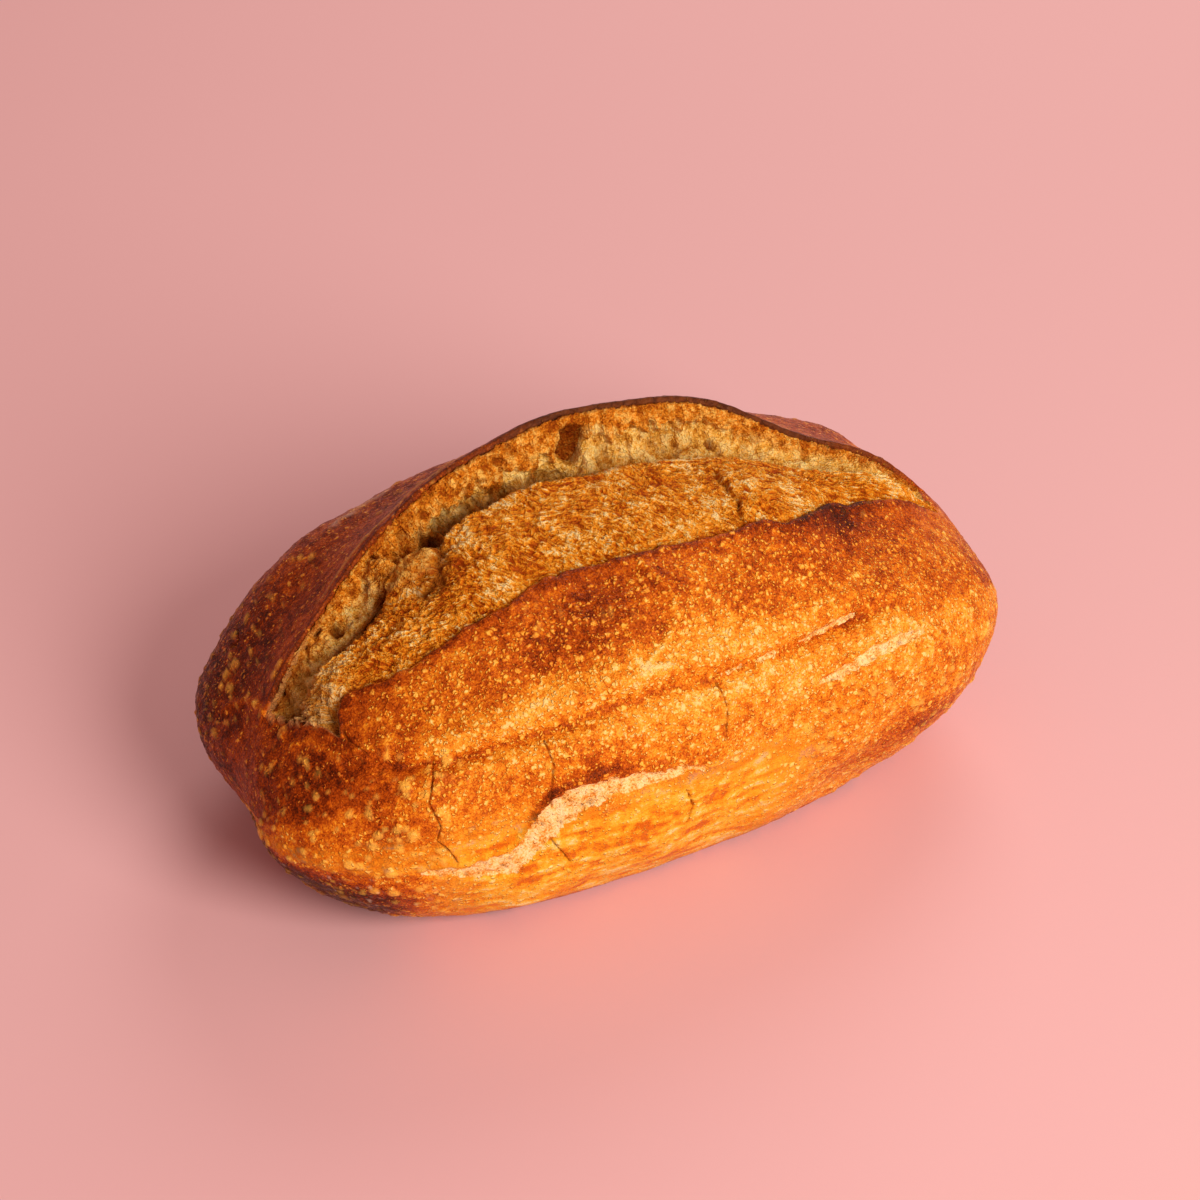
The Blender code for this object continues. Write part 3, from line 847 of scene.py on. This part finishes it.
def bloom_strands(points, x, across):
    """Pulled strands, clots and curls of the bloom, and where its strands run steeply."""
    steep = ramp(rough(points, 17, 80) + 0.2 - 0.5 * ramp(x, 40, 60), -0.12, 0.12)
    strands = np.zeros(len(x))
    for turn, part, seed in ((STEEP_TURN, steep, 82), (FLAT_TURN, 1.0 - steep, 81)):
        thick = fibres(points, x, across, turn, 1.7, seed)
        strands += part * (thick + 0.6 * fibres(points, x, across, turn + 9, 1.0, seed + 60))
    clots = np.abs(rough(points, 3.0, 85)) + 0.6 * np.abs(rough(points, 1.4, 86))
    pushed = points + 2.2 * np.stack([rough(points, 4.0, seed) for seed in (94, 95, 96)], axis=-1)
    curls = np.clip(1.0 - 2.6 * np.abs(rough(pushed, 2.6, 97)), 0.0, 1.0)
    return strands - 0.7, clots - 0.4, curls - 0.3, steep


def bloom_step(points, x, a):
    """The small step across the bloom, and the shaded line at its foot."""
    line = STEP_PLACE + 2.2 * rough(points, 6, 88) - 0.08 * (a - 4.0)
    step = ramp(x, line - 0.3, line + 0.7) * (1.0 - ramp(x, line + 2, line + 26))
    step *= ramp(a, -9, -1) * (1.0 - ramp(a, 14, 20))
    shade = np.exp(-(((x - line + 0.4) / 0.8) ** 2)) * ramp(a, -6, 3) * (1.0 - ramp(a, 14, 20))
    return step, shade


def make_crumb(material):
    mesh = crumb_form()
    phi, ring, hidden = read_net(mesh).T
    points = read_points(mesh)
    _, _, _, x, angle, _ = hull_place(phi, ring)
    a = from_up(angle)
    up = wall_level(ring)
    wall = wall_share(ring)
    mask = slash_mask(ring, x, angle)
    inner = ramp(mask, 0.4, 0.9) * (1.0 - hidden)

    upright = points * (1.0, 0.45, 0.45)
    torn = 1.1 * rough(points, 9.5, 70) + 1.4 * rough(points, 4.4, 71) + 1.1 * rough(upright, 2.0, 72)
    torn += 0.55 * rough(points, 1.0, 73)
    overhang = up + 0.24 * rough(points, 8, 77) + 0.26 * rough(upright, 2.4, 78) - 0.12 * ramp(x, -24, 6)
    roof = ramp(overhang, 0.50, 0.57) * (0.35 + 0.65 * ramp(x, -70, -40) - 0.6 * ramp(x, 50, 90))
    knob, moat = knob_relief(points, x, up)
    pits, cave = wall_pits(points, x, up, roof)
    height = wall * inner * (torn + 3.2 * roof + 3.0 * knob - 1.8 - pits - cave * (1.0 - 0.8 * knob))

    across = a * UNROLLED_STEP
    strands, clots, curls, steep = bloom_strands(points, x, across)
    shaggy = ramp(rough(points, 12, 84) + 0.4 * ramp(-x, 0, 60) - 0.1, -0.5, 0.6)
    bloom = (0.85 - 0.25 * shaggy) * strands + (0.15 + 0.6 * shaggy) * clots
    bloom += (0.1 + 0.8 * shaggy) * curls + 0.6 * rough(points, 7, 87)
    step, step_shade = bloom_step(points, x, a)
    bloom += 1.7 * step - 1.1 * step_shade
    tip_pit = np.exp(-(((x + TIP_PIT) / 2.6) ** 2) - ((a - 19.0) / 8.0) ** 2)
    pits_left = np.exp(-(((x + LEFT_PITS) / 4.0) ** 2)) + tip_pit
    pits_left = pits_left * ramp(mask, 0.6, 1.0) * (1.0 + 0.6 * rough(points, 3.0, 89))
    flakes = ramp(-x, 100, 108) * np.clip(1.0 - 2.2 * np.abs(rough(points, 4.2, 98)), 0.0, 1.0)
    bloom = bloom * (1.0 - 0.6 * knob) + 3.0 * knob - 4.6 * pits_left + 1.3 * flakes
    height += (1.0 - wall) * inner * bloom
    height += knob * (1.1 * rough(points, 3.0, 67) - 0.4) - 2.4 * moat * inner
    border = np.exp(-(((mask - 0.45) / 0.3) ** 2)) * (1.0 - hidden)
    height += border * (0.9 * rough(points, 2.2, 92) + 0.6 * rough(points, 1.0, 93))
    moved = points + read_normals(mesh) * height[:, None]
    write_points(mesh, moved)

    # Painted shade: darker in the wall's pores and caves, low on the knob, in the gap beside it, along the
    # bloom step's foot and in the left pits.
    depth = np.clip(pits * 0.34 + 0.11 * cave - 0.16 * torn, 0.0, 1.0) * wall * inner
    depth += 0.40 * knob * ramp(rough(moved, 2.4, 68) - 0.35 * up, -0.2, 0.5) + 0.85 * moat * inner
    depth += 0.45 * step_shade * (1.0 - wall) + 0.40 * pits_left * (1.0 - flakes)
    toasted = ramp(overhang + 0.08 * rough(moved, 1.6, 91), 0.47, 0.60) + 0.35 * ramp(up, 0.75, 1.0)
    toasted = np.maximum(toasted - 0.42 * ramp(x, 50, 90), 1.5 * knob) + 0.3 * rough(moved, 7, 90)
    # How high the painted shade at the wall's foot reaches.
    foot_shade_height = 0.14 + 0.05 * ramp(-x, 10, 60) + 0.20 * heaped(x)
    rise = strands * 0.8 + 0.5 * clots + 0.5 * curls + 0.8 * flakes
    set_values(
        mesh,
        wall=np.maximum(wall, ramp(knob, 0.25, 0.5)),
        toasted=np.clip(toasted, 0.0, 1.0),
        depth=depth,
        foot=np.exp(-((up / foot_shade_height) ** 4)) * (1.0 - knob),
        rise=np.where(wall > 0.5, torn * 0.35, rise),
        edge=1.0 - ramp(mask, 0.5, 0.95),
        # Painted shade deep inside the largest caves.
        hollow=ramp(cave, 4.5, 8.0),
        left_end=ramp(-x, 96, 116) * (1.0 - 0.5 * wall),
        steep=steep,
    )
    unrolled = (np.stack([x, across, 0.0 * x], axis=-1) * MM).astype(np.float32)
    mesh.attributes.new("unrolled", "FLOAT_VECTOR", "POINT").data.foreach_set("vector", unrolled.ravel())
    return loaf_piece("torn_crumb", mesh, material)


def put(tree, kind, **settings):
    node = tree.nodes.new(kind)
    for name, value in settings.items():
        setattr(node, name, value)
    return node


def feed(tree, socket, value):
    """Joins a socket to another node's output, or sets it to a plain value."""
    if isinstance(value, bpy.types.NodeSocket):
        tree.links.new(value, socket)
    else:
        socket.default_value = value


def sums(tree, operation, first, second, clamp=False):
    node = put(tree, "ShaderNodeMath", operation=operation, use_clamp=clamp)
    feed(tree, node.inputs[0], first)
    feed(tree, node.inputs[1], second)
    return node.outputs[0]


def times(tree, first, second):
    return sums(tree, "MULTIPLY", first, second)


def weighed(tree, start, *parts):
    """A starting amount, plus each value times its own factor."""
    total = start
    for value, factor in parts:
        total = sums(tree, "ADD", total, times(tree, value, factor))
    return total


def either_side(tree, value):
    """How far a noise is from its middle."""
    return sums(tree, "ABSOLUTE", sums(tree, "SUBTRACT", value, 0.5), 0.0)


def blend(tree, share, under, over):
    node = put(tree, "ShaderNodeMix", data_type="RGBA", clamp_factor=True)
    feed(tree, node.inputs["Factor"], share)
    feed(tree, node.inputs["A"], under)
    feed(tree, node.inputs["B"], over)
    return node.outputs["Result"]


def stretch(tree, value, low, high, to_low=0.0, to_high=1.0):
    node = put(tree, "ShaderNodeMapRange", interpolation_type="SMOOTHSTEP")
    limits = (("From Min", low), ("From Max", high), ("To Min", to_low), ("To Max", to_high))
    for name, amount in limits:
        feed(tree, node.inputs[name], amount)
    feed(tree, node.inputs["Value"], value)
    return node.outputs[0]


def colours(tree, share, *stops):
    node = put(tree, "ShaderNodeValToRGB")
    feed(tree, node.inputs["Fac"], share)
    band = node.color_ramp
    while len(band.elements) < len(stops):
        band.elements.new(0.5)
    for element, (place, colour) in zip(band.elements, stops):
        element.position = place
        element.color = (*colour, 1.0)
    return node.outputs["Color"]


def on_loaf(tree):
    return put(tree, "ShaderNodeTexCoord").outputs["Object"]


def point_value(tree, name):
    return put(tree, "ShaderNodeAttribute", attribute_name=name).outputs["Fac"]


def scaled(tree, place, sizes):
    node = put(tree, "ShaderNodeVectorMath", operation="MULTIPLY")
    feed(tree, node.inputs[0], place)
    feed(tree, node.inputs[1], sizes)
    return node.outputs[0]


def cloudy(tree, place, size, detail=2.0, roughness=0.5):
    """Noise from 0 to 1 with swellings about size millimetres across."""
    node = put(tree, "ShaderNodeTexNoise")
    feed(tree, node.inputs["Vector"], place)
    feed(tree, node.inputs["Scale"], 1.0 / (size * MM))
    feed(tree, node.inputs["Detail"], detail)
    feed(tree, node.inputs["Roughness"], roughness)
    return node.outputs["Fac"]


def new_effect(name, inputs, outputs):
    tree = bpy.data.node_groups.new(name, "ShaderNodeTree")
    for socket, kind, default in inputs:
        made = tree.interface.new_socket(socket, in_out="INPUT", socket_type=kind)
        if default is not None:
            made.default_value = default
    for socket, kind in outputs:
        tree.interface.new_socket(socket, in_out="OUTPUT", socket_type=kind)
    return tree, put(tree, "NodeGroupInput"), put(tree, "NodeGroupOutput")


def warped(tree, place, size, amount):
    """The same places pushed about by a cloudy noise, in millimetres."""
    noise = put(tree, "ShaderNodeTexNoise")
    feed(tree, noise.inputs["Vector"], place)
    feed(tree, noise.inputs["Scale"], 1.0 / (size * MM))
    feed(tree, noise.inputs["Detail"], 1.0)
    centred = put(tree, "ShaderNodeVectorMath", operation="SUBTRACT")
    feed(tree, centred.inputs[0], noise.outputs["Color"])
    feed(tree, centred.inputs[1], (0.5, 0.5, 0.5))
    total = put(tree, "ShaderNodeVectorMath", operation="ADD")
    feed(tree, total.inputs[0], place)
    feed(tree, total.inputs[1], scaled(tree, centred.outputs[0], (amount * MM,) * 3))
    return total.outputs[0]


def fleck_effect():
    """The skin of small flat blisters all over the crust: how pale each point is, and its height."""
    tree, given, result = new_effect(
        "crust_flecks",
        (("Place", "NodeSocketVector", None), ("Amount", "NodeSocketFloat", 0.5)),
        (("Tops", "NodeSocketFloat"), ("Veins", "NodeSocketFloat"), ("Height", "NodeSocketFloat")),
    )
    place = warped(tree, given.outputs["Place"], 1.9, 2.2)
    tops = None
    for size, share in ((2.3, 0.8), (1.25, 1.15)):
        cells = put(tree, "ShaderNodeTexVoronoi", feature="F1")
        feed(tree, cells.inputs["Vector"], place)
        feed(tree, cells.inputs["Scale"], 1.0 / (size * MM))
        own = put(tree, "ShaderNodeSeparateColor")
        feed(tree, own.inputs[0], cells.outputs["Color"])
        wide = stretch(tree, own.outputs[1], 0.0, 1.0, 0.22, 0.62)
        dome = stretch(tree, sums(tree, "DIVIDE", cells.outputs["Distance"], wide), 0.30, 1.0, 1.0, 0.0)
        amount = times(tree, given.outputs["Amount"], share)
        chosen = stretch(tree, sums(tree, "SUBTRACT", amount, own.outputs[0]), -0.10, 0.15)
        dome = times(tree, dome, chosen)
        tops = dome if tops is None else sums(tree, "MAXIMUM", tops, dome)
    veins = stretch(tree, either_side(tree, cloudy(tree, place, 1.3, 1.0, 0.5)), 0.0, 0.09, 1.0, 0.0)
    feed(tree, result.inputs["Tops"], tops)
    feed(tree, result.inputs["Veins"], veins)
    height = sums(tree, "SUBTRACT", times(tree, tops, 0.42), times(tree, veins, 0.08))
    feed(tree, result.inputs["Height"], height)
    return tree


def fibre_effect():
    """Fine strands of stretched dough in two directions, and its curls, all about 0."""
    tree, given, result = new_effect(
        "dough_fibres",
        (
            ("Place", "NodeSocketVector", None),
            ("Unrolled", "NodeSocketVector", None),
            ("Steep", "NodeSocketFloat", 0.5),
        ),
        (("Strands", "NodeSocketFloat"), ("Curls", "NodeSocketFloat")),
    )
    both = []
    flat = warped(tree, given.outputs["Unrolled"], 7.0, 3.0)
    for turn in (FLAT_TURN, STEEP_TURN):
        turned = put(tree, "ShaderNodeVectorRotate", rotation_type="Z_AXIS")
        feed(tree, turned.inputs["Vector"], flat)
        feed(tree, turned.inputs["Angle"], -math.radians(turn))
        both.append(cloudy(tree, scaled(tree, turned.outputs[0], (0.13, 1.0, 1.0)), 0.75, 2.0, 0.6))
    steep = given.outputs["Steep"]
    strands = weighed(tree, -0.5, (both[0], sums(tree, "SUBTRACT", 1.0, steep)), (both[1], steep))
    curly = cloudy(tree, warped(tree, given.outputs["Place"], 3.0, 3.5), 1.9, 1.0, 0.5)
    curls = stretch(tree, either_side(tree, curly), 0.0, 0.12, 0.5, -0.5)
    feed(tree, result.inputs["Strands"], strands)
    feed(tree, result.inputs["Curls"], curls)
    return tree


def mottle_effect():
    """The cloudy unevenness that baking gives every surface, about 0, and its finest grain."""
    tree, given, result = new_effect(
        "bake_mottle",
        (("Place", "NodeSocketVector", None),),
        (("Clouds", "NodeSocketFloat"), ("Spots", "NodeSocketFloat"), ("Grain", "NodeSocketFloat")),
    )
    place = given.outputs["Place"]
    clouds = sums(tree, "SUBTRACT", cloudy(tree, place, 13.0, 3.0, 0.6), 0.5)
    spots = sums(tree, "SUBTRACT", cloudy(tree, place, 3.2, 2.0, 0.6), 0.5)
    grain = sums(tree, "SUBTRACT", cloudy(tree, place, 0.7, 2.0, 0.6), 0.5)
    feed(tree, result.inputs["Clouds"], clouds)
    feed(tree, result.inputs["Spots"], spots)
    feed(tree, result.inputs["Grain"], grain)
    return tree


def effect(tree, group, **given):
    node = put(tree, "ShaderNodeGroup", node_tree=group)
    for name, value in given.items():
        feed(tree, node.inputs[name], value)
    return node.outputs


def finish_of(name):
    material = bpy.data.materials.new(name)
    material.use_nodes = True
    tree = material.node_tree
    return material, tree, tree.nodes["Principled BSDF"]


def bumped(tree, shader, height):
    bump = put(tree, "ShaderNodeBump")
    bump.inputs["Strength"].default_value = 1.0
    bump.inputs["Distance"].default_value = MM
    feed(tree, bump.inputs["Height"], height)
    feed(tree, shader.inputs["Normal"], bump.outputs["Normal"])


def baked_crust(flecks, mottle):
    material, tree, shader = finish_of("baked_crust")
    place = on_loaf(tree)
    uneven = effect(tree, mottle, Place=place)
    clouds, spots, grain = uneven["Clouds"], uneven["Spots"], uneven["Grain"]
    torn = point_value(tree, "torn")
    skin = effect(tree, flecks, Place=place, Amount=point_value(tree, "fine"))
    tone = weighed(
        tree,
        0.078,
        (point_value(tree, "tone"), 1.0),
        (clouds, 0.55),
        (spots, 0.55),
        (grain, 0.65),
        (skin["Tops"], -0.33),
        (skin["Veins"], 0.11),
    )
    colour = colours(
        tree,
        tone,
        (0.00, (0.94, 0.60, 0.21)),
        (0.12, (0.92, 0.46, 0.070)),
        (0.25, (0.86, 0.320, 0.020)),
        (0.38, (0.73, 0.192, 0.007)),
        (0.50, (0.55, 0.100, 0.004)),
        (0.62, (0.37, 0.052, 0.002)),
        (0.75, (0.20, 0.023, 0.001)),
        (0.88, (0.09, 0.009, 0.001)),
        (1.00, (0.035, 0.006, 0.002)),
    )
    streak = weighed(
        tree,
        0.42,
        (point_value(tree, "streak"), 0.55),
        (spots, 1.3),
        (grain, 0.9),
        (clouds, 1.2),
        (skin["Tops"], 0.35),
    )
    bright = colours(
        tree,
        streak,
        (0.00, (0.62, 0.105, 0.003)),
        (0.24, (0.84, 0.265, 0.006)),
        (0.50, (0.91, 0.425, 0.020)),
        (0.74, (0.93, 0.560, 0.070)),
        (0.98, (0.95, 0.740, 0.290)),
    )
    colour = blend(tree, times(tree, point_value(tree, "golden"), 0.85), colour, bright)
    pale = blend(tree, 0.62, colour, (0.94, 0.56, 0.085, 1.0))
    colour = blend(tree, times(tree, point_value(tree, "blister"), 0.80), colour, pale)
    colour = blend(tree, times(tree, stretch(tree, skin["Tops"], 0.55, 1.0), 0.42), colour, pale)
    colour = blend(tree, times(tree, point_value(tree, "edge"), 0.85), colour, (0.84, 0.46, 0.16, 1.0))
    crumb = colours(
        tree,
        weighed(tree, 0.54, (spots, 1.6), (grain, 1.5)),
        (0.18, (0.70, 0.22, 0.020)),
        (0.48, (0.92, 0.50, 0.14)),
        (0.75, (0.95, 0.66, 0.30)),
    )
    open_dough = weighed(tree, 0.0, (torn, 1.0), (spots, 0.5), (grain, 0.35))
    colour = blend(tree, stretch(tree, open_dough, 0.38, 0.58), colour, crumb)
    colour = blend(tree, times(tree, point_value(tree, "flour"), 0.7), colour, (0.78, 0.62, 0.46, 1.0))
    ashen = stretch(tree, spots, -0.25, 0.25)
    char = blend(tree, ashen, (0.042, 0.012, 0.006, 1.0), (0.16, 0.040, 0.010, 1.0))
    colour = blend(tree, point_value(tree, "burnt"), colour, char)
    # Painted shade in the crust's cracks and the tears' pores.
    colour = blend(tree, times(tree, point_value(tree, "crack"), 0.75), colour, (0.22, 0.040, 0.004, 1.0))
    feed(tree, shader.inputs["Base Color"], colour)
    dull = weighed(tree, 0.40, (spots, 0.4), (torn, 0.35), (skin["Tops"], -0.10))
    feed(tree, shader.inputs["Roughness"], sums(tree, "ADD", dull, 0.0, clamp=True))
    shader.inputs["Specular IOR Level"].default_value = 0.12
    shader.inputs["Specular Tint"].default_value = (1.0, 0.66, 0.40, 1.0)
    bumped(tree, shader, weighed(tree, skin["Height"], (spots, 0.45), (grain, 0.22)))
    return material


def torn_crumb(fibres, mottle):
    material, tree, shader = finish_of("torn_crumb")
    place = on_loaf(tree)
    uneven = effect(tree, mottle, Place=place)
    clouds, spots, grain = uneven["Clouds"], uneven["Spots"], uneven["Grain"]
    unrolled = put(tree, "ShaderNodeAttribute", attribute_name="unrolled").outputs["Vector"]
    strands = effect(tree, fibres, Place=place, Unrolled=unrolled, Steep=point_value(tree, "steep"))
    rise, left_end, wall = (point_value(tree, name) for name in ("rise", "left_end", "wall"))
    cream = colours(
        tree,
        weighed(tree, 0.5, (spots, 1.4), (grain, 1.4), (rise, 0.4)),
        (0.10, (0.54, 0.19, 0.010)),
        (0.42, (0.84, 0.44, 0.065)),
        (0.80, (0.93, 0.66, 0.22)),
    )
    toast = colours(
        tree,
        weighed(tree, 0.5, (spots, 1.4), (grain, 1.4), (rise, 0.45)),
        (0.10, (0.33, 0.055, 0.002)),
        (0.50, (0.70, 0.220, 0.010)),
        (0.85, (0.90, 0.48, 0.09)),
    )
    inside = blend(tree, point_value(tree, "toasted"), cream, toast)
    bloom = colours(
        tree,
        weighed(
            tree,
            0.42,
            (rise, 0.34),
            (clouds, 1.5),
            (spots, 0.7),
            (grain, 0.4),
            (strands["Strands"], 1.8),
            (strands["Curls"], 0.22),
        ),
        (0.06, (0.36, 0.052, 0.002)),
        (0.30, (0.62, 0.150, 0.004)),
        (0.54, (0.83, 0.290, 0.012)),
        (0.72, (0.92, 0.430, 0.060)),
        (0.92, (0.96, 0.680, 0.280)),
    )
    colour = blend(tree, wall, bloom, inside)
    grey = stretch(tree, spots, -0.3, 0.3)
    grey = blend(tree, grey, (0.28, 0.088, 0.010, 1.0), (0.60, 0.27, 0.052, 1.0))
    colour = blend(tree, times(tree, left_end, 0.7), colour, grey)
    # Painted shade along the foot of the wall.
    foot = times(tree, point_value(tree, "foot"), times(tree, wall, 0.78))
    colour = blend(tree, foot, colour, (0.31, 0.095, 0.006, 1.0))
    rim = blend(tree, left_end, (0.34, 0.065, 0.005, 1.0), (0.90, 0.56, 0.22, 1.0))
    colour = blend(tree, times(tree, point_value(tree, "edge"), 0.5), colour, rim)
    # Painted shade from the depth value, in pores, caves and gaps.
    colour = blend(tree, point_value(tree, "depth"), colour, (0.24, 0.058, 0.004, 1.0))
    # Near black in the deepest caves: painted shade.
    colour = blend(tree, times(tree, point_value(tree, "hollow"), 0.8), colour, (0.085, 0.014, 0.001, 1.0))
    feed(tree, shader.inputs["Base Color"], colour)
    feed(tree, shader.inputs["Roughness"], weighed(tree, 0.72, (spots, 0.2)))
    shader.inputs["Specular IOR Level"].default_value = 0.10
    shader.inputs["Specular Tint"].default_value = (1.0, 0.66, 0.40, 1.0)
    shader.inputs["Subsurface Weight"].default_value = 0.10
    shader.inputs["Subsurface Radius"].default_value = (1.0, 0.5, 0.2)
    shader.inputs["Subsurface Scale"].default_value = 2.0 * MM
    strand_height = (strands["Strands"], 1.3), (strands["Curls"], 0.42)
    bumped(tree, shader, weighed(tree, 0.0, (spots, 0.5), (grain, 0.4), *strand_height))
    return material


def make_floor():
    net = bmesh.new()
    bmesh.ops.create_grid(net, x_segments=1, y_segments=1, size=PAPER_SIZE)
    mesh = bpy.data.meshes.new("floor")
    net.to_mesh(mesh)
    net.free()
    material, _, shader = finish_of("pale_pink_paper")
    shader.inputs["Base Color"].default_value = PAPER_COLOUR
    shader.inputs["Roughness"].default_value = 0.75
    mesh.materials.append(material)
    floor = bpy.data.objects.new("floor", mesh)
    bpy.context.scene.collection.objects.link(floor)


def away(azimuth, elevation):
    """The direction from the loaf towards a place round it, in degrees."""
    a, e = math.radians(azimuth), math.radians(elevation)
    return Vector((math.sin(a) * math.cos(e), -math.cos(a) * math.cos(e), math.sin(e)))


def make_lamp(name, azimuth, elevation, watts, colour):
    lamp = bpy.data.lights.new(name, "AREA")
    lamp.shape = "DISK"
    lamp.size = LAMP_SIZE
    lamp.energy = watts
    lamp.color = colour
    holder = bpy.data.objects.new(name, lamp)
    back = away(azimuth, elevation)
    holder.location = Vector(LAMP_AIM) + back * LAMP_DISTANCE
    holder.rotation_euler = (-back).to_track_quat("-Z", "Y").to_euler()
    bpy.context.scene.collection.objects.link(holder)


def make_light():
    make_lamp("soft_box", *SOFT_BOX)
    make_lamp("back_light", *BACK_LIGHT)
    world = bpy.data.worlds.new("studio")
    world.use_nodes = True
    room = world.node_tree.nodes["Background"]
    room.inputs["Color"].default_value = ROOM_COLOUR
    room.inputs["Strength"].default_value = ROOM_STRENGTH
    bpy.context.scene.world = world


def make_camera():
    lens = bpy.data.cameras.new("camera")
    lens.sensor_width = SENSOR_WIDTH
    lens.lens = FOCAL_LENGTH
    holder = bpy.data.objects.new("camera", lens)
    back = away(CAMERA_AZIMUTH, CAMERA_ELEVATION)
    holder.location = Vector(CAMERA_AIM) + back * CAMERA_DISTANCE
    holder.rotation_euler = (-back).to_track_quat("-Z", "Y").to_euler()
    bpy.context.scene.collection.objects.link(holder)
    bpy.context.scene.camera = holder


make_camera()
mottle = mottle_effect()
make_crust(baked_crust(fleck_effect(), mottle))
make_crumb(torn_crumb(fibre_effect(), mottle))
make_floor()
make_light()
bpy.context.scene.view_settings.view_transform = "Standard"
